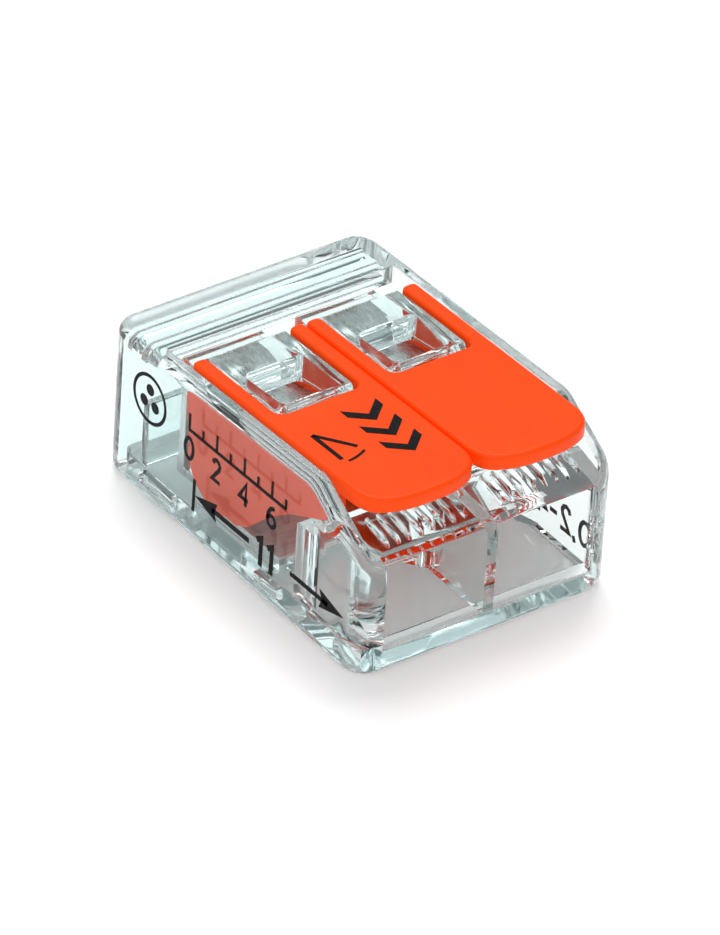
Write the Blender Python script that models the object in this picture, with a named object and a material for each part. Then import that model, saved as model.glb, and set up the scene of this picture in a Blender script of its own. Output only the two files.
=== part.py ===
"""Two-pole lever wire connector: a clear two-part housing, two levers, a common busbar and two clamp springs.

X is the width, Y runs from the wire entries (-) to the rear (+), and Z is up. The origin is the middle of
the underside. Shapes are drawn in millimetres, and finished() turns each piece into metres.
"""

import math

import bmesh
import bpy

MM = 0.001

# Housing
WIDTH = 13.1
LENGTH = 18.5
REAR_TOP = 7.33  # height of the top at the rear edge
TOP_RISE = 0.042  # how much the top climbs towards the front, per millimetre
WALL = 0.75
REAR_WALL = 0.85
CORNER_R = 1.35  # upright corners
EDGE_R = 0.5  # long edges of the side walls
FOOT_R = 0.55
REAR_TOP_R = 0.65
CREST_Y = -5.45  # where the top turns down towards the entries
CREST_R = 1.2
SHOULDER = (-8.55, 6.1)  # foot of that slope
SHOULDER_R = 1.0
FRONT_TOP = 5.25
GAP = 0.10  # running and fitting clearance between pieces
JOIN = 0.2  # how far a feature runs into its neighbour so that the two fuse

# Wire entries
POLE_X = 2.875  # distance of each pole from the middle plane
ENTRY_INNER_X = 0.26
ENTRY_OUTER_X = 5.31
ENTRY_FLOOR = 1.2
ENTRY_ROOF = 5.45
ENTRY_END_Y = -5.3
SILL_END_Y = -8.5
ROOF_END_Y = -6.0
ROOF_TOP = 6.15
SHELF = ((-8.9, 5.72), (-7.3, ROOF_TOP))  # y, z of the shelf under the noses
RIB_OFFSETS = (-1.96, -1.4, -0.84, -0.28, 0.28, 0.84, 1.4, 1.96)
RIB_HALF = 0.08
RIB = ((-8.6, 5.6), (-8.5, 6.05), (-8.2, 6.3), (-7.0, 6.4), (-7.0, 5.6))  # y, z
THROAT_INNER_X = 0.9
THROAT_OUTER_X = 4.85
THROAT_TOP = 4.95
THROAT_Y = (-5.5, -4.7, -4.2)  # start, end of the taper, end
PARTITION_HALF = 0.12
PARTITION_GAP = 0.12

# Levers
PIVOT = (1.85, 3.75)  # y, z of the levers' axis
LEVER_HALF = 2.825
LEVER_PROUD = 0.13  # height of the lever tops above the housing top
LEVER_THICK = 0.7
NOSE_Y = -8.75
NOSE_DEPTH = 1.9
NOSE_POWER = 2.6
ARM_END_Y = 4.35
WINDOW_HALF = 2.095
WINDOW_Y = -0.9
WINDOW_R = 0.45
ARM_END_R = 0.25
LEVER_RIM_R = 0.18
CHEEK_THICK = 0.56
CHEEK_SINK = 0.005  # keeps the cheek's inner face off the window's
CHEEK_FRONT_Y = -5.75
CHEEK_REAR = (4.2, 6.2)
CHEEK_EDGE = ((0.45, 1.85), (-0.35, 2.2), (-1.2, 3.05), (-2.25, 3.95), (-3.3, 4.7), (CHEEK_FRONT_Y, 5.85))
DISC_R = 2.0
DISC_ARC = (7, -112)  # degrees
WINDOW_SWING_R = 4.62  # the window's front edge stays outside this radius about the pivot
SWING_ARC = (150, 100)  # degrees
SWING_HALF = 2.045  # reaches past the sides of the tongue
BOSS_R = 0.3
BOSS_REACH = 0.88
BOSS_ANGLE = 219.3
BOSS_LENGTH = 0.45

# Tongues that fill the lever windows, and the bridge behind them
TONGUE_HALF = 1.955
TONGUE_Y = -0.8
TONGUE_R = WINDOW_SWING_R - 0.12
TONGUE_CORNER_R = 0.45
TONGUE_UNDER_Y = (0.6, 5.3)  # where the underside starts and stops sloping along the spring
TONGUE_REAR_Z = 5.85
SEAT_Y = 4.3
SEAT_FLOOR = 6.55  # groove that takes the edge of an open lever
SEAT_END_Y = 5.97
BRIDGE_UNDER = 6.55
BRIDGE_STEP = 0.4
BRIDGE_RIBS = (6.75, 7.75)  # y of the two low ribs under the bridge
BRIDGE_RIB = (0.35, 0.22)  # width and depth
POCKET_HALF = 1.45
POCKET_Y = (-0.2, 2.55)
POCKET_R = 0.3

# Base plate
BASE_TOP = 1.1
LUG_Y = (4.2, 6.3)
FRONT_LUG_Y = (-3.4, -2.0)
LUG_Z = (0.75, 1.1)
LUG_SINK = 0.15  # how far a lug's face lies inside the housing's side
RAIL_Y = (-2.4, 3.0)
RAMP_Y = (-4.0, -2.9, -2.3)  # foot, top and back of the ramp up to the busbar
RAMP_TOP = 1.65
RAMP_HALF = 1.9
STOP_Y = (6.65, 7.05)
STOP_TOP = 4.2

# Busbar
BAR_Z = (1.2, 1.6)
BAR_HALF = 5.1
BAR_Y = (-2.2, 3.0)
BAR_TAIL_HALF = 1.9
FRAME_Y = (5.2, 5.6)
FRAME_TOP = 5.25
FRAME_WINDOW_HALF = 1.5
FRAME_WINDOW_TOP = 4.75
RIDGE_Y = 3.4
RIDGE_R = 0.45
RIDGE_RISE = 0.15

# Clamp springs
SPRING_THICK = 0.28
BOW = (0.27, 5.69)  # y, z of the bow's centre, which is also the clamping leg's axis
BOW_R = 0.61
BOW_HALF = 1.5
SUPPORT_SLOPE = 9.0  # degrees, down towards the rear
BOW_END = 203.0  # degrees round the bow
LEG_ANGLE = -42.75
LEG_LENGTH = 4.8
LEG_HALF = 1.9
LEG_WIDE = (0.6, 0.4)  # distances from the leg's two ends to its wider part
WING_SINK = 0.002  # keeps the wings' faces off the leg's
HOOK_Y = 5.88
HOOK_TIP = 4.85
HOOK_R = 0.3

CURVE_STEPS = 5
STATION_STEP = 0.015  # least distance between two sections of the housing


def clear_scene():
    for item in list(bpy.data.objects):
        bpy.data.objects.remove(item)


def material(name, color, roughness, metallic=0.0, transmission=0.0):
    made = bpy.data.materials.new(name)
    made.use_nodes = True
    shader = made.node_tree.nodes["Principled BSDF"]
    shader.inputs["Base Color"].default_value = (*color, 1.0)
    shader.inputs["Roughness"].default_value = roughness
    shader.inputs["Metallic"].default_value = metallic
    shader.inputs["Transmission Weight"].default_value = transmission
    made.diffuse_color = (*color, 1.0)
    return made


def housing_top(y):
    """Height of the housing's top plane at y."""
    return REAR_TOP + TOP_RISE * (LENGTH / 2 - y)


def lever_top(y):
    return housing_top(y) + LEVER_PROUD


def arc(centre, radius, start, end, steps):
    """Points on a circle from one angle to another, in degrees, with both ends."""
    turns = [math.radians(start + (end - start) * i / steps) for i in range(steps + 1)]
    return [(centre[0] + radius * math.cos(a), centre[1] + radius * math.sin(a)) for a in turns]


def circle_height(y, radius):
    """Upper height at y of a circle about the pivot."""
    return PIVOT[1] + math.sqrt(radius**2 - (y - PIVOT[0]) ** 2)


def filleted(corners, steps=CURVE_STEPS):
    """An outline from (u, v, radius) corners, with an arc at each corner whose radius isn't zero."""
    outline = []
    for i, (u, v, radius) in enumerate(corners):
        if radius == 0:
            outline.append((u, v))
            continue
        before, after = corners[i - 1], corners[(i + 1) % len(corners)]
        to_before = math.atan2(before[1] - v, before[0] - u)
        to_after = math.atan2(after[1] - v, after[0] - u)
        half = ((to_after - to_before + math.pi) % (2 * math.pi) - math.pi) / 2
        reach = radius / abs(math.sin(half))
        centre = (u + reach * math.cos(to_before + half), v + reach * math.sin(to_before + half))
        side = math.copysign(math.pi / 2, half)
        first = math.degrees(to_before - side)
        turn = math.degrees(2 * half) - math.copysign(180, half)
        outline += arc(centre, radius, first, first + turn, steps)
    return outline


def rectangle(u_range, v_range, radius=0.0):
    (u0, u1), (v0, v1) = u_range, v_range
    return filleted([(u0, v0, radius), (u1, v0, radius), (u1, v1, radius), (u0, v1, radius)])


def strip(path, thickness):
    """The outline of a bent strip of even thickness along a centre line."""
    left, right = [], []
    for i, (u, v) in enumerate(path):
        ahead, behind = path[min(i + 1, len(path) - 1)], path[max(i - 1, 0)]
        du, dv = ahead[0] - behind[0], ahead[1] - behind[1]
        scale = thickness / 2 / math.hypot(du, dv)
        left.append((u - dv * scale, v + du * scale))
        right.append((u + dv * scale, v - du * scale))
    return left + right[::-1]


def point_on(axis, u, v, along):
    """A point whose u and v are the two coordinates across the axis, in X, Y, Z order."""
    return {"X": (along, u, v), "Y": (u, along, v), "Z": (u, v, along)}[axis]


def linked(name, mesh):
    """Turns a closed mesh into an object of the scene, with its faces turned outwards."""
    bmesh.ops.recalc_face_normals(mesh, faces=mesh.faces[:])
    data = bpy.data.meshes.new(name)
    mesh.to_mesh(data)
    mesh.free()
    made = bpy.data.objects.new(name, data)
    bpy.context.scene.collection.objects.link(made)
    return made


def prism(name, outline, axis, low, high, rim=None, shape=None):
    """A solid swept along an axis. rim is (radius, ends) for rounded end edges; shape moves each (x, y, z)."""
    mesh = bmesh.new()
    ends = []
    for along in (low, high):
        ends.append([mesh.verts.new(point_on(axis, u, v, along)) for u, v in outline])
    caps = [mesh.faces.new(ring) for ring in ends]
    count = len(outline)
    for i in range(count):
        j = (i + 1) % count
        mesh.faces.new((ends[0][i], ends[0][j], ends[1][j], ends[1][i]))
    bmesh.ops.recalc_face_normals(mesh, faces=mesh.faces[:])
    if rim:
        radius, chosen = rim
        edges = [edge for cap, keep in zip(caps, chosen) if keep for edge in cap.edges]
        bmesh.ops.bevel(mesh, geom=edges, offset=radius, segments=3, profile=0.5, affect="EDGES")
    if shape:
        for vertex in mesh.verts:
            vertex.co = shape(*vertex.co)
    return linked(name, mesh)


def combine(target, others, operation):
    """Applies one exact Boolean for each other object, and removes those objects."""
    for other in others:
        step = target.modifiers.new(other.name, "BOOLEAN")
        step.operation = operation
        step.solver = "EXACT"
        step.object = other
    bpy.context.view_layer.update()
    evaluated = target.evaluated_get(bpy.context.evaluated_depsgraph_get())
    result = bpy.data.meshes.new_from_object(evaluated)
    target.modifiers.clear()
    target.data = result
    for other in others:
        bpy.data.objects.remove(other)
    return target


def finished(item, surface, origin=(0.0, 0.0, 0.0)):
    """Turns a piece into metres about its origin, and gives it its material and smooth round faces."""
    for vertex in item.data.vertices:
        vertex.co = [MM * (value - shift) for value, shift in zip(vertex.co, origin)]
    item.location = [MM * value for value in origin]
    item.data.materials.clear()
    item.data.materials.append(surface)
    item.data.shade_smooth()
    item.data.set_sharp_from_angle(angle=math.radians(35))
    return item


def mirrored_ranges(low, high):
    """The same stretch of X on the right and on the left of the middle plane."""
    return ((low, high), (-high, -low))


def value_at(line, y):
    """The second coordinate at y on a line of points in the order of their first coordinate."""
    for (y0, value0), (y1, value1) in zip(line, line[1:]):
        if y <= y1:
            return value0 + (value1 - value0) * (y - y0) / (y1 - y0)
    return line[-1][1]


def housing_outside():
    """The housing's outer form: rounded sections along its length, narrower and lower towards the two ends."""
    rear, front = LENGTH / 2, -LENGTH / 2
    profile = filleted(
        [
            (front, 0, FOOT_R),
            (front, FRONT_TOP, SHOULDER_R),
            (*SHOULDER, SHOULDER_R),
            (CREST_Y, housing_top(CREST_Y), CREST_R),
            (rear, housing_top(rear), REAR_TOP_R),
            (rear, 0, FOOT_R),
        ]
    )
    foot = CURVE_STEPS + 1
    top_line = profile[foot:-foot]
    foot_line = profile[:foot][::-1] + profile[-foot:][::-1]
    x = WIDTH / 2 - CORNER_R
    side_line = arc((front + CORNER_R, x), CORNER_R, 180, 90, 2 * CURVE_STEPS)
    side_line += arc((rear - CORNER_R, x), CORNER_R, 90, 0, 2 * CURVE_STEPS)
    stations = [front]
    for y in sorted(point[0] for point in top_line + foot_line + side_line):
        if y - stations[-1] > STATION_STEP and rear - y > STATION_STEP:
            stations.append(y)
    mesh = bmesh.new()
    rings = []
    for y in [*stations, rear]:
        half = value_at(side_line, y)
        section = rectangle((-half, half), (value_at(foot_line, y), value_at(top_line, y)), EDGE_R)
        rings.append([mesh.verts.new((x, y, z)) for x, z in section])
    for before, after in zip(rings, rings[1:]):
        for i in range(len(before)):
            mesh.faces.new((before[i - 1], before[i], after[i], after[i - 1]))
    mesh.faces.new(rings[0])
    mesh.faces.new(rings[-1])
    bmesh.ops.recalc_face_normals(mesh, faces=mesh.faces[:])
    bmesh.ops.connect_verts_nonplanar(mesh, angle_limit=math.radians(0.05), faces=mesh.faces[:])
    return linked("housing_shell", mesh)


def tongue_profile():
    """Side outline of a tongue with the lever seat and the bridge's middle behind it."""
    top_y = PIVOT[0] - math.sqrt(TONGUE_R**2 - (housing_top(0) - PIVOT[1]) ** 2)
    front_angle = math.degrees(math.atan2(circle_height(TONGUE_Y, TONGUE_R) - PIVOT[1], TONGUE_Y - PIVOT[0]))
    top_angle = math.degrees(math.atan2(housing_top(top_y) - PIVOT[1], top_y - PIVOT[0]))
    rear_y = PIVOT[0] + math.sqrt(TONGUE_R**2 - (housing_top(SEAT_Y) - PIVOT[1]) ** 2)
    rear_angle = math.degrees(math.atan2(housing_top(rear_y) - PIVOT[1], rear_y - PIVOT[0]))
    seat_angle = math.degrees(math.asin((SEAT_FLOOR - PIVOT[1]) / TONGUE_R))
    spring_clear = BOW[1] + BOW_R + SPRING_THICK / 2 + 1.5 * GAP
    return (
        [(TONGUE_Y, spring_clear)]
        + arc(PIVOT, TONGUE_R, front_angle, top_angle, 4)
        + arc(PIVOT, TONGUE_R, rear_angle, seat_angle, 6)
        + [
            (SEAT_END_Y, SEAT_FLOOR),
            (SEAT_END_Y, BRIDGE_UNDER + BRIDGE_STEP),
            (SEAT_END_Y + JOIN, BRIDGE_UNDER + BRIDGE_STEP),
            (SEAT_END_Y + JOIN, TONGUE_REAR_Z),
            (TONGUE_UNDER_Y[1], TONGUE_REAR_Z),
            (TONGUE_UNDER_Y[0], spring_clear),
        ]
    )


def tongue(side):
    """One tongue, from its rounded front edge to the bridge, with the test pocket down to the spring."""
    middle = side * POLE_X
    body = prism("tongue", tongue_profile(), "X", middle - TONGUE_HALF, middle + TONGUE_HALF)
    rear = SEAT_END_Y + 1
    corners = [
        (middle - TONGUE_HALF, TONGUE_Y, TONGUE_CORNER_R),
        (middle + TONGUE_HALF, TONGUE_Y, TONGUE_CORNER_R),
        (middle + TONGUE_HALF, rear, 0),
        (middle - TONGUE_HALF, rear, 0),
    ]
    combine(body, [prism("tongue_plan", filleted(corners), "Z", 0, 10)], "INTERSECT")
    pocket = rectangle((middle - POCKET_HALF, middle + POCKET_HALF), POCKET_Y, POCKET_R)
    return combine(body, [prism("pocket", pocket, "Z", 0, 10)], "DIFFERENCE")


def roof_profile():
    """Side outline of the roof over the entries, whose top is a shelf that rises gently under the lever noses."""
    front = -LENGTH / 2 - JOIN
    return [(front, ENTRY_ROOF), (front, SHELF[0][1]), *SHELF, (ROOF_END_Y, ROOF_TOP), (ROOF_END_Y, ENTRY_ROOF)]


def bridge_profile():
    """Side outline of the bridge over the rear, with two low ribs on its underside."""
    rear = LENGTH / 2
    width, depth = BRIDGE_RIB
    under = [(SEAT_END_Y, BRIDGE_UNDER)]
    for y in BRIDGE_RIBS:
        under += [(y, BRIDGE_UNDER), (y, BRIDGE_UNDER - depth)]
        under += [(y + width, BRIDGE_UNDER - depth), (y + width, BRIDGE_UNDER)]
    over = housing_top(SEAT_END_Y) + JOIN
    return [*under, (rear, BRIDGE_UNDER), (rear, over), (SEAT_END_Y, over)]


def partition_profile():
    """Side outline of the thin wall between the poles, clear of the levers' swing and of the busbar."""
    swing = lever_top(PIVOT[0]) - LEVER_THICK - PIVOT[1] - PARTITION_GAP
    over_bar = BAR_Z[1] + 1.5 * GAP
    low = math.degrees(math.asin((over_bar - PIVOT[1]) / swing))
    front = ENTRY_END_Y - JOIN
    return [(front, over_bar), (front, PIVOT[1] + swing)] + arc(PIVOT, swing, 90, low, 12)


def throat_posts():
    """The guides that narrow each entry to the clamping point, two to a pole."""
    posts = []
    start, taper_end, end = THROAT_Y
    wall = WIDTH / 2 - WALL + JOIN
    for side in (1, -1):
        for root, wide, narrow in ((0, ENTRY_INNER_X, THROAT_INNER_X), (wall, ENTRY_OUTER_X, THROAT_OUTER_X)):
            outline = [(root, start), (wide, start), (narrow, taper_end), (narrow, end), (root, end)]
            outline = [(side * x, y) for x, y in outline]
            posts.append(prism("post", outline, "Z", ENTRY_FLOOR, THROAT_TOP))
    return posts


def housing_features():
    """What stands between the side walls: sill, roof, divider, jambs, partition, posts, tongues and bridge."""
    front = -LENGTH / 2
    inside = WIDTH / 2 - WALL
    full = (-inside - JOIN, inside + JOIN)
    features = [
        prism("sill", rectangle((front - JOIN, SILL_END_Y), (-JOIN, ENTRY_FLOOR)), "X", *full),
        prism("roof", roof_profile(), "X", *full),
        prism("bridge", bridge_profile(), "X", *full),
        prism("partition", partition_profile(), "X", -PARTITION_HALF, PARTITION_HALF),
    ]
    for low, high in ((-ENTRY_INNER_X, ENTRY_INNER_X), *mirrored_ranges(ENTRY_OUTER_X, inside + JOIN)):
        upright = [
            (front - JOIN, ENTRY_FLOOR - JOIN / 4),
            (ENTRY_END_Y, ENTRY_FLOOR - JOIN / 4),
            (ENTRY_END_Y, ENTRY_ROOF),
            (ROOF_END_Y - JOIN, ENTRY_ROOF + JOIN / 4),
            (front - JOIN, ENTRY_ROOF + JOIN / 4),
        ]
        features.append(prism("upright", upright, "X", low, high))
    for side in (1, -1):
        features.append(tongue(side))
        for offset in RIB_OFFSETS:
            middle = side * POLE_X + offset
            features.append(prism("rib", RIB, "X", middle - RIB_HALF, middle + RIB_HALF))
    return features + throat_posts()


def housing_shell(surface):
    """The clear upper housing: the outer form less everything inside that isn't one of its features."""
    inside = WIDTH / 2 - WALL
    hollow = rectangle((-LENGTH / 2 - 1, LENGTH / 2 - REAR_WALL), (-1, 10))
    space = combine(prism("space", hollow, "X", -inside, inside), housing_features(), "DIFFERENCE")
    cutters = [space]
    for y_range in (LUG_Y, FRONT_LUG_Y):
        window = rectangle((y_range[0] - GAP, y_range[1] + GAP), (LUG_Z[0] - GAP, LUG_Z[1] + GAP))
        for low, high in mirrored_ranges(inside - JOIN, WIDTH / 2 + 1):
            cutters.append(prism("lug_window", window, "X", low, high))
    return finished(combine(housing_outside(), cutters, "DIFFERENCE"), surface)


def housing_base(surface):
    """The clear bottom plate, with snap lugs, busbar rails, lead-in ramps and the conductor stop."""
    inside = WIDTH / 2 - WALL
    plan = rectangle((-inside + GAP, inside - GAP), (SILL_END_Y + GAP, LENGTH / 2 - REAR_WALL - GAP), FOOT_R)
    plate = prism("housing_base", plan, "Z", 0, BASE_TOP)
    parts = []
    for low, high in mirrored_ranges(inside - GAP - JOIN, WIDTH / 2 - LUG_SINK):
        for y_range in (LUG_Y, FRONT_LUG_Y):
            parts.append(prism("lug", rectangle(y_range, LUG_Z), "X", low, high))
    root = BASE_TOP - JOIN
    for low, high in mirrored_ranges(BAR_HALF + GAP, inside - GAP):
        parts.append(prism("rail", rectangle(RAIL_Y, (root, BAR_Z[1])), "X", low, high))
    foot, crest, back = RAMP_Y
    ramp = [(foot, root), (foot, BASE_TOP), (crest, RAMP_TOP), (back, RAMP_TOP), (back, root)]
    for side in (1, -1):
        middle = side * POLE_X
        parts.append(prism("ramp", ramp, "X", middle - RAMP_HALF, middle + RAMP_HALF))
    stop = rectangle(STOP_Y, (root, STOP_TOP))
    parts.append(prism("stop", stop, "X", -inside + 2 * GAP, inside - 2 * GAP))
    return finished(combine(plate, parts, "UNION"), surface)


def fork_outline(middle):
    """Plan of a lever: a broad rounded nose, and two arms that pass each side of the window."""
    nose = []
    steps = 22
    for i in range(steps + 1):
        turn = math.pi * i / steps
        across = math.copysign(abs(math.cos(turn)) ** (2 / NOSE_POWER), math.cos(turn))
        ahead = abs(math.sin(turn)) ** (2 / NOSE_POWER)
        nose.append((LEVER_HALF * across, NOSE_Y + NOSE_DEPTH * (1 - ahead)))
    fork = filleted(
        [
            (-LEVER_HALF, NOSE_Y + NOSE_DEPTH, 0),
            (-LEVER_HALF, ARM_END_Y, ARM_END_R),
            (-WINDOW_HALF, ARM_END_Y, ARM_END_R),
            (-WINDOW_HALF, WINDOW_Y, WINDOW_R),
            (WINDOW_HALF, WINDOW_Y, WINDOW_R),
            (WINDOW_HALF, ARM_END_Y, ARM_END_R),
            (LEVER_HALF, ARM_END_Y, ARM_END_R),
            (LEVER_HALF, NOSE_Y + NOSE_DEPTH, 0),
        ]
    )
    return [(middle + x, y) for x, y in fork[1:-1] + nose]


def cheek_profile():
    """Side outline of a lever cheek: a bearing disc about the pivot, and a web that runs out to the nose."""
    deep = LEVER_THICK / 2
    rear = CHEEK_REAR[0]
    top = [(CHEEK_FRONT_Y, lever_top(CHEEK_FRONT_Y) - deep), (rear, lever_top(rear) - deep), CHEEK_REAR]
    return top + arc(PIVOT, DISC_R, *DISC_ARC, 16) + list(CHEEK_EDGE)


def lever(name, side, surface):
    """An orange lever: a plate with a window, two cheeks, and a boss inside each cheek that lifts the spring."""
    middle = side * POLE_X

    def lean(x, y, z):
        return x, y, lever_top(y) + z

    rim = (LEVER_RIM_R, (False, True))
    plate = prism(name, fork_outline(middle), "Z", -LEVER_THICK, 0, rim=rim, shape=lean)
    parts = []
    boss_centre = arc(PIVOT, BOSS_REACH, BOSS_ANGLE, BOSS_ANGLE, 1)[0]
    boss = arc(boss_centre, BOSS_R, 0, 345, 23)
    for edge in (-1, 1):
        cheek = sorted(middle + edge * (WINDOW_HALF + CHEEK_SINK + offset) for offset in (0, CHEEK_THICK))
        parts.append(prism("cheek", cheek_profile(), "X", *cheek))
        reach = sorted(middle + edge * (WINDOW_HALF + offset) for offset in (JOIN, -BOSS_LENGTH))
        parts.append(prism("boss", boss, "X", *reach))
    combine(plate, parts, "UNION")
    swing = [PIVOT, *arc(PIVOT, WINDOW_SWING_R, *SWING_ARC, 12)]
    sector = prism("swing", swing, "X", middle - SWING_HALF, middle + SWING_HALF)
    return finished(combine(plate, [sector], "DIFFERENCE"), surface, (middle, *PIVOT))


def busbar(surface):
    """The tinned busbar: a floor that joins the poles, a contact ridge, and a frame behind each clamp."""
    bar = prism("busbar", rectangle(BAR_Y, BAR_Z), "X", -BAR_HALF, BAR_HALF)
    parts = []
    for side in (1, -1):
        middle = side * POLE_X
        low, high = middle - BAR_TAIL_HALF, middle + BAR_TAIL_HALF
        tail = prism("tail", rectangle((BAR_Y[1] - JOIN, FRAME_Y[1]), BAR_Z), "X", low, high)
        frame = prism("frame", rectangle(FRAME_Y, (BAR_Z[0], FRAME_TOP)), "X", low, high)
        window = rectangle(
            (middle - FRAME_WINDOW_HALF, middle + FRAME_WINDOW_HALF), (BAR_Z[1], FRAME_WINDOW_TOP), 0.25
        )
        hole = prism("window", window, "Y", FRAME_Y[0] - JOIN, FRAME_Y[1] + JOIN)
        parts.append(combine(frame, [hole], "DIFFERENCE"))
        centre = (RIDGE_Y, BAR_Z[1] - RIDGE_R + RIDGE_RISE)
        ridge = arc(centre, RIDGE_R, 15, 165, 8)
        parts.append(prism("ridge", ridge, "X", middle - FRAME_WINDOW_HALF, middle + FRAME_WINDOW_HALF))
        parts.append(tail)
    return finished(combine(bar, parts, "UNION"), surface)


def spring_support(name, side, surface):
    """The fixed part of a clamp spring: the hook over the busbar frame, the support leg and the bow."""
    slope = math.radians(SUPPORT_SLOPE)
    bow = arc(BOW, BOW_R, 90 - SUPPORT_SLOPE, BOW_END, 14)
    bend_z = bow[0][1] - math.tan(slope) * (HOOK_Y - bow[0][0])
    hook = filleted([(HOOK_Y, HOOK_TIP, 0), (HOOK_Y, bend_z, HOOK_R), (*bow[0], 0)])
    path = hook[:-1] + bow
    middle = side * POLE_X
    outline = strip(path, SPRING_THICK)
    return finished(prism(name, outline, "X", middle - BOW_HALF, middle + BOW_HALF), surface)


def clamp_leg(name, side, surface):
    """The clamping leg of a spring, from the end of the bow to the edge that presses on the conductor."""
    gap_angle = math.degrees(GAP / (BOW_R - SPRING_THICK / 2))
    root = arc(BOW, BOW_R, BOW_END + gap_angle, 270 + LEG_ANGLE, 4)
    along = (math.cos(math.radians(LEG_ANGLE)), math.sin(math.radians(LEG_ANGLE)))

    def down_leg(distance):
        return (root[-1][0] + along[0] * distance, root[-1][1] + along[1] * distance)

    middle = side * POLE_X
    narrow = strip(root + [down_leg(2), down_leg(LEG_LENGTH)], SPRING_THICK)
    wide = strip([down_leg(LEG_WIDE[0]), down_leg(LEG_LENGTH - LEG_WIDE[1])], SPRING_THICK - WING_SINK)
    leg = prism(name, narrow, "X", middle - BOW_HALF, middle + BOW_HALF)
    wings = prism("wings", wide, "X", middle - LEG_HALF, middle + LEG_HALF)
    return finished(combine(leg, [wings], "UNION"), surface, (middle, *BOW))


def main():
    clear_scene()
    clear = material("clear_polycarbonate", (0.86, 0.92, 0.90), 0.05, transmission=1.0)
    orange = material("orange_plastic", (0.95, 0.13, 0.015), 0.35)
    tinned = material("tinned_copper", (0.72, 0.72, 0.70), 0.3, metallic=1.0)
    steel = material("spring_steel", (0.62, 0.62, 0.60), 0.25, metallic=1.0)
    housing_shell(clear)
    housing_base(clear)
    busbar(tinned)
    for side, label in ((-1, "left"), (1, "right")):
        lever(f"lever_{label}", side, orange)
        spring_support(f"clamp_spring_{label}", side, steel)
        clamp_leg(f"clamp_leg_{label}", side, steel)


main()
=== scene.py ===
"""A two-pole lever wire connector on a pale floor: clear housing, orange levers, busbar and clamp springs."""

import math

import bmesh
import bpy
from mathutils import Matrix, Vector
from mathutils.bvhtree import BVHTree


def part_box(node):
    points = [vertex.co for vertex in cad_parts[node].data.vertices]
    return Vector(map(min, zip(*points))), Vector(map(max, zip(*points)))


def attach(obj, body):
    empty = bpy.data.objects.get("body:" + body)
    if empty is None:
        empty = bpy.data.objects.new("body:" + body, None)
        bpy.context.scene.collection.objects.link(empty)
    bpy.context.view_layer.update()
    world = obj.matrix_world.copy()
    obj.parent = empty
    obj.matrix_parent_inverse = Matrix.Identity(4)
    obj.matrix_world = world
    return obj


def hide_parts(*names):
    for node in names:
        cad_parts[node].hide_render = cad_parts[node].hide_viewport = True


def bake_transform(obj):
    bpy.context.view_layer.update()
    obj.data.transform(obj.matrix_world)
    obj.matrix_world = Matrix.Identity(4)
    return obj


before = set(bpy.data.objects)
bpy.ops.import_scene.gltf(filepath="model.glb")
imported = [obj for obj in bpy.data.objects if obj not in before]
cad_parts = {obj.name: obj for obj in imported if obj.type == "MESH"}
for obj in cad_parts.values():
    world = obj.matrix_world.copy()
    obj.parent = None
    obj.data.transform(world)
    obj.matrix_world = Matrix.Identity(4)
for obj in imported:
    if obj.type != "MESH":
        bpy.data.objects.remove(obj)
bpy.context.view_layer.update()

MM = 0.001
SHELL_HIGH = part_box("housing_shell")[1]
scene = bpy.context.scene


# ---------------------------------------------------------------- node helpers

class Nodes:
    """A material's node tree, with short calls for the nodes used here."""

    def __init__(self, name):
        self.material = bpy.data.materials.new(name)
        self.material.use_nodes = True
        self.tree = self.material.node_tree
        self.shader = self.tree.nodes["Principled BSDF"]
        self.place = self.tree.nodes.new("ShaderNodeTexCoord").outputs["Object"]

    def set(self, **values):
        for name, value in values.items():
            self.shader.inputs[name.replace("_", " ")].default_value = value

    def link(self, source, target):
        self.tree.links.new(source, self.shader.inputs[target] if isinstance(target, str) else target)

    def stretched(self, scale):
        node = self.tree.nodes.new("ShaderNodeMapping")
        node.inputs["Scale"].default_value = scale
        self.tree.links.new(self.place, node.inputs["Vector"])
        return node.outputs["Vector"]

    def noise(self, scale, detail, rough=0.5, vector=None):
        node = self.tree.nodes.new("ShaderNodeTexNoise")
        node.inputs["Scale"].default_value = scale
        node.inputs["Detail"].default_value = detail
        node.inputs["Roughness"].default_value = rough
        self.tree.links.new(vector or self.place, node.inputs["Vector"])
        return node.outputs["Fac"]

    def ramp(self, value, stops):
        node = self.tree.nodes.new("ShaderNodeValToRGB")
        marks = node.color_ramp.elements
        while len(marks) < len(stops):
            marks.new(0.5)
        for mark, (position, color) in zip(marks, stops):
            mark.position = position
            mark.color = (*color, 1.0)
        self.tree.links.new(value, node.inputs["Fac"])
        return node.outputs["Color"]

    def scaled(self, value, low, high):
        node = self.tree.nodes.new("ShaderNodeMapRange")
        node.inputs["From Min"].default_value = 0.3
        node.inputs["From Max"].default_value = 0.7
        node.inputs["To Min"].default_value = low
        node.inputs["To Max"].default_value = high
        self.tree.links.new(value, node.inputs["Value"])
        return node.outputs["Result"]

    def bump(self, value, strength, distance, under=None):
        node = self.tree.nodes.new("ShaderNodeBump")
        node.inputs["Strength"].default_value = strength
        node.inputs["Distance"].default_value = distance
        self.tree.links.new(value, node.inputs["Height"])
        if under is not None:
            self.tree.links.new(under, node.inputs["Normal"])
        return node.outputs["Normal"]


PLASTIC_IOR = 1.40
HELD_BACK = (0.05, 0.05, 0.05, 1.0)  # tint of the plastic's reflections
CLEAR_TINTS = ((0.855, 0.945, 0.943), (0.88, 0.96, 0.957))
FLOW_SCALE = (700, 260, 420)  # the moulding's slight waviness, per metre
FLOW_STRENGTH = 0.05


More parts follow.
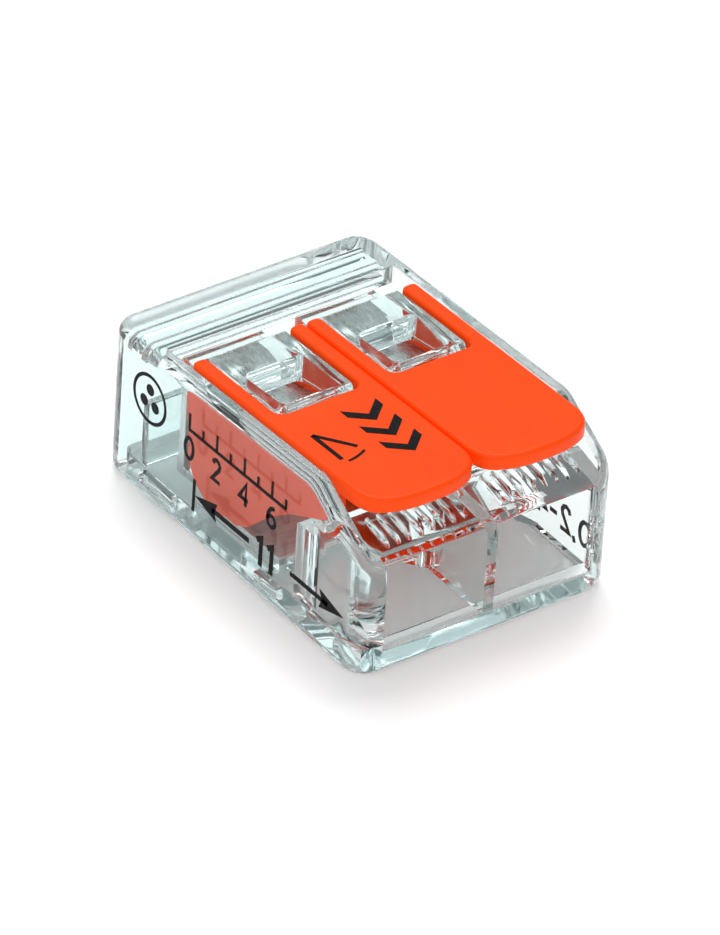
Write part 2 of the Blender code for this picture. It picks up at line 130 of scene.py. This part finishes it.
def clear_plastic(name):
    n = Nodes(name)
    n.set(Transmission_Weight=1.0, IOR=PLASTIC_IOR, Metallic=0.0, Specular_Tint=HELD_BACK)
    n.link(n.ramp(n.noise(240, 3), [(0.35, CLEAR_TINTS[0]), (0.65, CLEAR_TINTS[1])]), "Base Color")
    n.link(n.scaled(n.noise(700, 4), 0.0, 0.07), "Roughness")
    flow = n.noise(1.0, 2, vector=n.stretched(FLOW_SCALE))
    n.link(n.bump(flow, FLOW_STRENGTH, 0.04 * MM), "Normal")
    return n.material


ORANGES = ((0.84, 0.055, 0.0012), (0.90, 0.065, 0.0018))
PAINTED_GLOW_COLOR = (1.0, 0.07, 0.001, 1.0)
PAINTED_GLOW = 0.2  # painted glow: orange light the levers give off themselves, lightening their shaded sides


def orange_plastic():
    n = Nodes("orange_polyamide")
    n.set(Metallic=0.0, IOR=1.53, Specular_IOR_Level=0.12)
    # painted glow: emission makes the orange brighter where lamp light falls short
    n.set(Emission_Color=PAINTED_GLOW_COLOR, Emission_Strength=PAINTED_GLOW)
    n.link(n.ramp(n.noise(380, 4), [(0.3, ORANGES[0]), (0.7, ORANGES[1])]), "Base Color")
    n.link(n.scaled(n.noise(1500, 3), 0.34, 0.46), "Roughness")
    grain = n.noise(11000, 2, 0.6)
    sink = n.noise(420, 2)
    n.link(n.bump(grain, 0.22, 0.012 * MM, n.bump(sink, 0.25, 0.05 * MM)), "Normal")
    return n.material


def strip_metal(name, dark, light, rough, along):
    n = Nodes(name)
    n.set(Metallic=1.0)
    rolled = n.noise(1.0, 5, 0.6, vector=n.stretched(along))
    n.link(n.ramp(rolled, [(0.3, dark), (0.7, light)]), "Base Color")
    n.link(n.scaled(n.noise(1.0, 3, vector=n.stretched(along)), *rough), "Roughness")
    n.link(n.bump(rolled, 0.25, 0.01 * MM), "Normal")
    return n.material


def print_ink(name, dark, light):
    n = Nodes(name)
    n.set(Specular_IOR_Level=0.1)
    n.link(n.ramp(n.noise(2600, 4), [(0.3, dark), (0.7, light)]), "Base Color")
    n.link(n.scaled(n.noise(4000, 3), 0.45, 0.65), "Roughness")
    return n.material


CLEAR = clear_plastic("clear_polycarbonate")
CLEAR_BASE = clear_plastic("clear_polycarbonate_base")
ORANGE = orange_plastic()
TINNED = strip_metal("tinned_copper", (0.56, 0.56, 0.55), (0.80, 0.80, 0.79), (0.28, 0.42), (900, 5200, 900))
STEEL = strip_metal("spring_steel", (0.50, 0.50, 0.49), (0.74, 0.74, 0.73), (0.20, 0.34), (6000, 900, 900))
BLACK = print_ink("black_print", (0.003, 0.003, 0.003), (0.007, 0.007, 0.008))


# ---------------------------------------------------------------- mesh helpers

WELD = 0.002  # millimetres
FLAT = 0.4  # degrees
FOLDED = math.radians(150)
SMOOTHED = 55.0  # degrees
EDGE_R = 0.06  # millimetres
SHORTEST = 0.3  # edges shorter than this stay sharp, in millimetres
REACH = 2.5 * EDGE_R + 0.02  # how near an edge's end is to a fault that it causes, in millimetres
MOST_TURNS = 40


def new_object(name, mesh_data, material):
    made = bpy.data.objects.new(name, mesh_data)
    scene.collection.objects.link(made)
    made.data.materials.clear()
    made.data.materials.append(material)
    return made


def joined_mesh(node):
    """A CAD node's mesh in millimetres, with its flat faces whole."""
    mesh = bmesh.new()
    mesh.from_mesh(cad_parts[node].data)
    bmesh.ops.remove_doubles(mesh, verts=mesh.verts[:], dist=WELD * MM)
    bmesh.ops.dissolve_limit(mesh, angle_limit=math.radians(FLAT), verts=mesh.verts[:], edges=mesh.edges[:])
    bmesh.ops.scale(mesh, vec=(1 / MM, 1 / MM, 1 / MM), verts=mesh.verts[:])
    mesh.normal_update()
    mesh.edges.ensure_lookup_table()
    return mesh


def faults(mesh):
    """Places where a rounded mesh folds over or passes through itself."""
    flat = mesh.copy()
    bmesh.ops.triangulate(flat, faces=flat.faces[:])
    flat.faces.ensure_lookup_table()
    found = []
    for edge in flat.edges:
        if edge.calc_face_angle(0.0) > FOLDED:
            found.append((edge.verts[0].co + edge.verts[1].co) / 2)
    tree = BVHTree.FromBMesh(flat, epsilon=0.0)
    for first, second in tree.overlap(tree):
        if first < second:
            pair = (flat.faces[first], flat.faces[second])
            if not set(pair[0].verts) & set(pair[1].verts):
                found.append(min(pair, key=lambda face: face.calc_area()).calc_center_median())
    flat.free()
    return found


def rounded(source, chosen):
    """A copy of a mesh with the chosen edges rounded, by their numbers."""
    mesh = source.copy()
    mesh.edges.ensure_lookup_table()
    picked = [mesh.edges[index] for index in sorted(chosen)]
    bmesh.ops.bevel(mesh, geom=picked, offset=EDGE_R, segments=2, profile=0.5, affect="EDGES",
                    clamp_overlap=False, miter_outer="ARC")
    return mesh


def rounded_copy(node, name, material, angle=40.0):
    """A copy of a CAD node with its edges rounded, apart from the few where that would fold the mesh."""
    source = joined_mesh(node)

    def distance(index, place):
        return min((vertex.co - place).length for vertex in source.edges[index].verts)

    def length(index):
        return source.edges[index].calc_length()

    sharp = [edge for edge in source.edges if edge.calc_face_angle(0.0) >= math.radians(angle)]
    chosen = {edge.index for edge in sharp if edge.calc_length() >= SHORTEST}
    mesh = rounded(source, chosen)
    for _ in range(MOST_TURNS):
        places = faults(mesh)
        if not places:
            break
        mesh.free()
        dropped = set()
        for place in places:
            near = [index for index in sorted(chosen) if distance(index, place) < REACH]
            if near:
                dropped.add(min(near, key=length))
            else:
                dropped.add(min(sorted(chosen), key=lambda index: distance(index, place), default=None))
        chosen -= dropped
        mesh = rounded(source, chosen)
    bmesh.ops.scale(mesh, vec=(MM, MM, MM), verts=mesh.verts[:])
    data = bpy.data.meshes.new(name)
    mesh.to_mesh(data)
    mesh.free()
    source.free()
    made = new_object(name, data, material)
    smooth(made, SMOOTHED)
    return even_normals(made)


def even_normals(piece):
    """Flat faces keep flat normals, and the rounded edges between them carry the turn."""
    step = piece.modifiers.new("even_normals", "WEIGHTED_NORMAL")
    step.keep_sharp = True
    bpy.context.view_layer.update()
    evaluated = piece.evaluated_get(bpy.context.evaluated_depsgraph_get())
    result = bpy.data.meshes.new_from_object(evaluated)
    piece.modifiers.clear()
    piece.data = result
    return piece


def smooth(piece, angle):
    piece.data.shade_smooth()
    piece.data.set_sharp_from_angle(angle=math.radians(angle))


# ---------------------------------------------------------------- clamp springs

BOW = (0.27, 5.69)  # y, z of the bow's centre, in millimetres
BOW_R = 0.61
SPRING_THICK = 0.27
SPRING_HALF = 1.5
LEG_HALF = 1.88
LEG_ANGLE = -42.75
LEG_LENGTH = 4.78
SUPPORT_SLOPE = 9.0  # degrees
HOOK = (5.88, 4.87)  # y, and the height of the tip
HOOK_R = 0.3
POLE_X = 2.875
STRIP_EDGE = 0.05  # chamfer of the strip's edges
SUPPORT_STEPS = 12
LEG_STATIONS = (  # distance from the bow's end, and half width
    (0.3, SPRING_HALF),
    (0.55, SPRING_HALF),
    (0.72, LEG_HALF - 0.08),
    (0.8, LEG_HALF),
    (1.6, LEG_HALF),
    (2.6, LEG_HALF),
    (3.6, LEG_HALF),
    (4.3, LEG_HALF),
    (4.4, LEG_HALF - 0.08),
    (4.48, SPRING_HALF),
    (LEG_LENGTH - 0.08, SPRING_HALF),
    (LEG_LENGTH, SPRING_HALF - 0.08),
)
BLEND_LINE = (-0.5, -0.866)  # y, z of a direction from the bow that the support leg never crosses
BLEND_REACH = 0.45


def turned_points(centre, radius, start, end, steps):
    turns = [math.radians(start + (end - start) * i / steps) for i in range(steps + 1)]
    return [(centre[0] + radius * math.cos(a), centre[1] + radius * math.sin(a)) for a in turns]


def spring_path():
    """(y, z, half width) stations from the hook's tip, along the support leg and the bow, to the far edge."""
    slope = math.radians(SUPPORT_SLOPE)
    bow = turned_points(BOW, BOW_R, 90 - SUPPORT_SLOPE, 270 + LEG_ANGLE, 30)
    bend_z = bow[0][1] - math.tan(slope) * (HOOK[0] - bow[0][0])
    centre = (HOOK[0] - HOOK_R, bend_z - HOOK_R + 0.03)
    stations = [(HOOK[0], HOOK[1], SPRING_HALF - 0.12), (HOOK[0], HOOK[1] + 0.1, SPRING_HALF)]
    stations += [(y, z, SPRING_HALF) for y, z in turned_points(centre, HOOK_R, 0, 90 - SUPPORT_SLOPE, 8)]
    first, last = stations[-1], bow[0]
    for i in range(1, SUPPORT_STEPS):
        part = i / SUPPORT_STEPS
        y, z = (first[k] + (last[k] - first[k]) * part for k in (0, 1))
        stations.append((y, z, SPRING_HALF))
    stations += [(y, z, SPRING_HALF) for y, z in bow]
    along = (math.cos(math.radians(LEG_ANGLE)), math.sin(math.radians(LEG_ANGLE)))
    start = bow[-1]
    for distance, half in LEG_STATIONS:
        stations.append((start[0] + along[0] * distance, start[1] + along[1] * distance, half))
    return stations


def whole_spring(label):
    """One bent strip with rounded edges, in place of the CAD's fixed half and clamping leg."""
    middle = -POLE_X if label == "left" else POLE_X
    path = spring_path()
    edge = STRIP_EDGE
    mesh = bmesh.new()
    rings = []
    for i, (y, z, half) in enumerate(path):
        ahead, behind = path[min(i + 1, len(path) - 1)], path[max(i - 1, 0)]
        dy, dz = ahead[0] - behind[0], ahead[1] - behind[1]
        length = math.hypot(dy, dz)
        ny, nz = -dz / length, dy / length
        t = SPRING_THICK / 2
        if i in (0, len(path) - 1):
            t *= 0.6
        outline = [(-half, -t + edge), (-half + edge, -t), (half - edge, -t), (half, -t + edge),
                   (half, t - edge), (half - edge, t), (-half + edge, t), (-half, t - edge)]
        places = [((middle + u) * MM, (y + ny * v) * MM, (z + nz * v) * MM) for u, v in outline]
        rings.append([mesh.verts.new(place) for place in places])
    for before, after in zip(rings, rings[1:]):
        for k in range(8):
            j = (k + 1) % 8
            mesh.faces.new((before[k], before[j], after[j], after[k]))
    mesh.faces.new(rings[0])
    mesh.faces.new(rings[-1])
    bmesh.ops.recalc_face_normals(mesh, faces=mesh.faces[:])
    data = bpy.data.meshes.new(f"spring_strip_{label}")
    mesh.to_mesh(data)
    mesh.free()
    strip = new_object(f"spring_strip_{label}", data, STEEL)
    smooth(strip, 50)
    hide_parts(f"clamp_spring_{label}", f"clamp_leg_{label}")
    for reach in (-BLEND_REACH, BLEND_REACH):
        y, z = BOW[0] + BLEND_LINE[0] * reach, BOW[1] + BLEND_LINE[1] * reach
    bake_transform(strip)


# ---------------------------------------------------------------- prints

def stroke_mesh(mesh, path, width, thick, to_world):
    """A thin closed bar of even width along (u, v) points. to_world turns (u, v, height) into a place."""
    left, right = [], []
    last = len(path) - 1
    for i, (u, v) in enumerate(path):
        sides = []
        for a, b in ((max(i - 1, 0), max(i, 1)), (min(i, last - 1), min(i + 1, last))):
            du, dv = path[b][0] - path[a][0], path[b][1] - path[a][1]
            length = math.hypot(du, dv) or 1.0
            sides.append((-dv / length, du / length))
        nu, nv = sides[0][0] + sides[1][0], sides[0][1] + sides[1][1]
        length = math.hypot(nu, nv) or 1.0
        nu, nv = nu / length, nv / length
        reach = width / 2 / max(0.5, nu * sides[0][0] + nv * sides[0][1])
        left.append((u + nu * reach, v + nv * reach))
        right.append((u - nu * reach, v - nv * reach))
    slab(mesh, left + right[::-1], thick, to_world, strip=len(path))


def slab(mesh, outline, thick, to_world, strip=None):
    """A thin closed solid over an outline. strip is its number of stations, where it is a bar's two sides."""
    low = [mesh.verts.new(to_world(u, v, 0.0)) for u, v in outline]
    high = [mesh.verts.new(to_world(u, v, thick)) for u, v in outline]
    count = len(outline)
    for i in range(count):
        j = (i + 1) % count
        mesh.faces.new((low[i], low[j], high[j], high[i]))
    for ring in (low, high):
        if strip:
            for i in range(strip - 1):
                mesh.faces.new((ring[i], ring[i + 1], ring[count - 2 - i], ring[count - 1 - i]))
        else:
            mesh.faces.new(ring)


def ring_path(centre, radius, steps):
    return turned_points(centre, radius, 0, 360, steps)


def oval(centre, half_width, half_height, steps=24):
    """A closed path from the top of an oval."""
    turns = [2 * math.pi * i / steps for i in range(steps + 1)]
    return [(centre[0] + half_width * math.sin(a), centre[1] + half_height * math.cos(a)) for a in turns]


# Plain figures in a cell of height 1: each is one (u, v) path.
FIGURES = {
    "0": oval((0.30, 0.5), 0.25, 0.44),
    "1": [(0.08, 0.80), (0.30, 0.94), (0.30, 0.0)],
    "2": [
        (0.08, 0.74), (0.14, 0.88), (0.28, 0.95), (0.42, 0.90),
        (0.50, 0.76), (0.46, 0.60), (0.06, 0.05), (0.54, 0.05),
    ],
    "4": [(0.42, 0.0), (0.42, 0.95), (0.04, 0.28), (0.56, 0.28)],
    "6": [(0.46, 0.90), (0.24, 0.80), (0.09, 0.55), (0.07, 0.30)]
    + turned_points((0.30, 0.28), 0.235, 180, 540, 20),
    ",": [(0.14, 0.10), (0.06, -0.12)],
    "-": [(0.06, 0.42), (0.44, 0.42)],
}
ADVANCE = {"0": 0.72, "1": 0.52, "2": 0.70, "4": 0.72, "6": 0.70, ",": 0.30, "-": 0.60}


def figures(mesh, text, origin, height, width, thick, to_world):
    u = origin[0]
    for mark in text:
        path = [(u + a * height, origin[1] + b * height) for a, b in FIGURES[mark]]
        stroke_mesh(mesh, path, width, thick, to_world)
        u += ADVANCE[mark] * height


def printed(name, draw, body):
    mesh = bmesh.new()
    draw(mesh)
    bmesh.ops.recalc_face_normals(mesh, faces=mesh.faces[:])
    data = bpy.data.meshes.new(name)
    mesh.to_mesh(data)
    mesh.free()
    made = new_object(name, data, BLACK)
    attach(made, body)


PRINT_THICK = 0.012
PRINT_LIFT = 0.002
WALL_X = SHELL_HIGH.x / MM
RULE_START = (-3.05, 5.36)  # u, v of the rule's first tick
RULE_STEP = 0.98
RULE_CLIMB = 0.0225  # rise of the rule from tick to tick
RULE_TICKS = 8
RING_CENTRE = (-5.9, 5.15)
RIGHT_GAUGE_LIFT = 1.75


def left_wall(u, v, height):
    """u runs towards the entries, and v up, on the left side wall."""
    return (-(WALL_X + PRINT_LIFT + height) * MM, -u * MM, v * MM)


def right_wall(u, v, height):
    return ((WALL_X + PRINT_LIFT + height) * MM, u * MM, v * MM)


def gauge(mesh, to_world, direction=1.0):
    """The strip-length gauge: an end bar, two arrows and the length between them."""
    def at(points):
        return [(direction * u, v) for u, v in points]
    stroke_mesh(mesh, at([(-2.50, 1.55), (-2.50, 3.15)]), 0.20, PRINT_THICK, to_world)
    stroke_mesh(mesh, at([(-1.2, 2.40), (1.45, 2.45)]), 0.25, PRINT_THICK, to_world)
    slab(mesh, at([(-2.42, 2.38), (-0.85, 1.93), (-1.02, 2.38), (-0.85, 2.85)]), PRINT_THICK, to_world)
    stroke_mesh(mesh, at([(4.35, 2.62), (7.0, 2.66)]), 0.24, PRINT_THICK, to_world)
    slab(mesh, at([(8.12, 2.67), (6.40, 2.20), (6.60, 2.66), (6.40, 3.12)]), PRINT_THICK, to_world)
    figures(mesh, "11", (1.85 if direction > 0 else -3.35, 1.70), 1.46, 0.27, PRINT_THICK, to_world)


def left_marks(mesh):
    gauge(mesh, left_wall)
    rule(mesh)
    conductor_end(mesh)


def rule(mesh):
    """A plain rule with a tick about every millimetre and a figure under every second tick."""
    stroke_mesh(mesh, [(-3.1, 5.34), (3.85, 5.50)], 0.17, PRINT_THICK, left_wall)
    for i in range(RULE_TICKS):
        u, v = RULE_START[0] + i * RULE_STEP, RULE_START[1] + i * RULE_CLIMB
        tall = 0.80 if i % 2 == 0 else 0.46
        stroke_mesh(mesh, [(u, v), (u, v + tall)], 0.16, PRINT_THICK, left_wall)
    for i in range(0, RULE_TICKS, 2):
        origin = (RULE_START[0] + i * RULE_STEP - 0.30, 3.85 + i * RULE_CLIMB)
        figures(mesh, str(i), origin, 1.15, 0.19, PRINT_THICK, left_wall)


def conductor_end(mesh):
    """A ring with three dots, like the end of a stranded conductor."""
    stroke_mesh(mesh, ring_path(RING_CENTRE, 1.12, 32), 0.17, PRINT_THICK, left_wall)
    for i in range(3):
        spot = turned_points(RING_CENTRE, 0.46, 90 + 120 * i, 90 + 120 * i, 1)[0]
        slab(mesh, ring_path(spot, 0.27, 16)[:-1], PRINT_THICK, left_wall)


def right_marks(mesh):
    """The gauge, above the range of conductor sizes."""
    gauge(mesh, lambda u, v, height: right_wall(u, v + RIGHT_GAUGE_LIFT, height), -1.0)
    figures(mesh, "0,2-4", (-8.3, 1.45), 1.3, 0.21, PRINT_THICK, right_wall)


LEVER_REAR_Z = 7.33 + 0.13  # height of the lever's top plane at the housing's rear edge
HALF_LENGTH = 9.25
TOP_RISE = 0.042
CHEVRON_START = 2.05
CHEVRON_STEP = 1.35
SKETCH_HINGE = (2.9, -4.75)


def lever_plane(u, v, height):
    """u runs towards the entries, and v to the right, on the levers' top."""
    z = LEVER_REAR_Z + TOP_RISE * (HALF_LENGTH + u) + PRINT_LIFT + height
    return (v * MM, -u * MM, z * MM)


def lever_marks(mesh):
    """A plain lift sign: three bold chevrons to the nose, and a small sketch of a raised lever."""
    for i in range(3):
        u = CHEVRON_START + i * CHEVRON_STEP
        rear_side = [(u, -2.75), (u + 0.8, -1.85), (u, -0.95)]
        nose_side = [(u + 0.55, -0.95), (u + 1.35, -1.85), (u + 0.55, -2.75)]
        slab(mesh, rear_side + nose_side, PRINT_THICK, lever_plane)
    for tip in ((5.0, -4.75), (4.55, -3.65)):
        stroke_mesh(mesh, [SKETCH_HINGE, tip], 0.20, PRINT_THICK, lever_plane)
    stroke_mesh(mesh, turned_points(SKETCH_HINGE, 2.35, 4, 30, 8), 0.13, PRINT_THICK, lever_plane)


printed("print_left_wall", left_marks, "housing")
printed("print_right_wall", right_marks, "housing")
printed("print_lever_left", lever_marks, "lever_left")


# ---------------------------------------------------------------- pieces

shell = rounded_copy("housing_shell", "shell_moulding", CLEAR)
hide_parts("housing_shell")
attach(shell, "housing")

base = rounded_copy("housing_base", "base_moulding", CLEAR_BASE)
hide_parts("housing_base")
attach(base, "housing")

bar = rounded_copy("busbar", "busbar_strip", TINNED)
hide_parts("busbar")
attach(bar, "housing")

for label in ("left", "right"):
    lever = rounded_copy(f"lever_{label}", f"lever_moulding_{label}", ORANGE, 42.0)
    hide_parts(f"lever_{label}")
    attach(lever, f"lever_{label}")
    whole_spring(label)


# ---------------------------------------------------------------- studio

SENSOR = 36.0  # height of the camera's sensor, in millimetres
AIM = Vector((0, 0, 4.0))
AZIMUTH = -0.6611488  # radians, as are the next two
ELEVATION = 0.6158876
ROLL = 0.0669773
FOCAL = 11.439775  # in heights of the view
SHIFT = (-0.00948, 0.93575)  # of the aim, across the view, in millimetres
DISTANCE = 443.0789


def solved_camera():
    """The camera that sees the housing's edges where they should be."""
    a, e = AZIMUTH, ELEVATION
    back = Vector((math.sin(a) * math.cos(e), -math.cos(a) * math.cos(e), math.sin(e)))
    right = Vector((math.cos(a), math.sin(a), 0))
    up = back.cross(right)
    r = math.cos(ROLL) * right + math.sin(ROLL) * up
    u = -math.sin(ROLL) * right + math.cos(ROLL) * up
    centre = AIM - SHIFT[0] * r - SHIFT[1] * u + DISTANCE * back
    data = bpy.data.cameras.new("camera")
    data.sensor_fit = "VERTICAL"
    data.sensor_height = SENSOR
    data.lens = FOCAL * SENSOR
    data.clip_start = 0.01
    data.clip_end = 10
    made = bpy.data.objects.new("camera", data)
    turn = Matrix((r, u, back)).transposed().to_4x4()
    made.matrix_world = Matrix.Translation(centre * MM) @ turn
    scene.collection.objects.link(made)
    scene.camera = made


FLOOR_HALF = 1.5
FLOOR_DROP = 0.03 * MM
FLOOR_GLOW = 0.24  # stands for a light table under the object
WHITE = (1.0, 1.0, 1.0, 1.0)


def floor():
    mesh = bmesh.new()
    bmesh.ops.create_grid(mesh, x_segments=2, y_segments=2, size=FLOOR_HALF)
    data = bpy.data.meshes.new("floor")
    mesh.to_mesh(data)
    mesh.free()
    n = Nodes("studio_floor")
    n.set(Metallic=0.0, Specular_IOR_Level=0.1, Emission_Color=WHITE, Emission_Strength=FLOOR_GLOW)
    n.link(n.ramp(n.noise(3, 2), [(0.3, (0.93, 0.93, 0.93)), (0.7, (0.95, 0.95, 0.95))]), "Base Color")
    n.link(n.scaled(n.noise(40, 2), 0.75, 0.85), "Roughness")
    made = new_object("floor", data, n.material)
    made.location.z = -FLOOR_DROP


# name, place, size and watts of each light; all of them face the object
SOFTBOXES = (
    ("key", (0.07, 0.11, 0.26), (0.16, 0.16), 0.52),
    ("fill", (-0.13, -0.19, 0.25), (0.14, 0.14), 0.15),
    ("rim", (0.02, 0.28, 0.14), (0.30, 0.10), 0.05),
)
WORLD_STRENGTH = 0.70
BRIGHT_SIDE = (-0.75, -0.6, 0.28)
SHADE_END = (0.30, (0.30, 0.31, 0.32, 1))  # place on the ramp, and color
BRIGHT_END = (0.95, WHITE)


def softbox(name, place, size, power):
    data = bpy.data.lights.new(name, "AREA")
    data.shape = "RECTANGLE"
    data.size, data.size_y = size
    data.energy = power
    made = bpy.data.objects.new(name, data)
    made.location = place
    made.rotation_euler = (-Vector(place)).to_track_quat("-Z", "Y").to_euler()
    scene.collection.objects.link(made)


def studio_world():
    """A pale room: an even shade, and a broad bright side towards the entries and the left wall."""
    world = bpy.data.worlds.new("studio")
    scene.world = world
    world.use_nodes = True
    tree = world.node_tree
    backdrop = tree.nodes["Background"]
    facing = tree.nodes.new("ShaderNodeVectorMath")
    facing.operation = "DOT_PRODUCT"
    facing.inputs[1].default_value = Vector(BRIGHT_SIDE).normalized()
    tree.links.new(tree.nodes.new("ShaderNodeTexCoord").outputs["Generated"], facing.inputs[0])
    spread = tree.nodes.new("ShaderNodeMapRange")
    spread.inputs["From Min"].default_value = -1.0
    spread.inputs["From Max"].default_value = 1.0
    ramp = tree.nodes.new("ShaderNodeValToRGB")
    tree.links.new(facing.outputs["Value"], spread.inputs["Value"])
    tree.links.new(spread.outputs["Result"], ramp.inputs["Fac"])
    tree.links.new(ramp.outputs["Color"], backdrop.inputs["Color"])
    marks = ramp.color_ramp.elements
    for mark, (position, color) in zip(marks, (SHADE_END, BRIGHT_END)):
        mark.position = position
        mark.color = color
    backdrop.inputs["Strength"].default_value = WORLD_STRENGTH


solved_camera()
floor()
for light in SOFTBOXES:
    softbox(*light)
studio_world()

scene.view_settings.view_transform = "Standard"
scene.view_settings.look = "None"
scene.cycles.max_bounces = 24
scene.cycles.transmission_bounces = 24
scene.cycles.glossy_bounces = 12
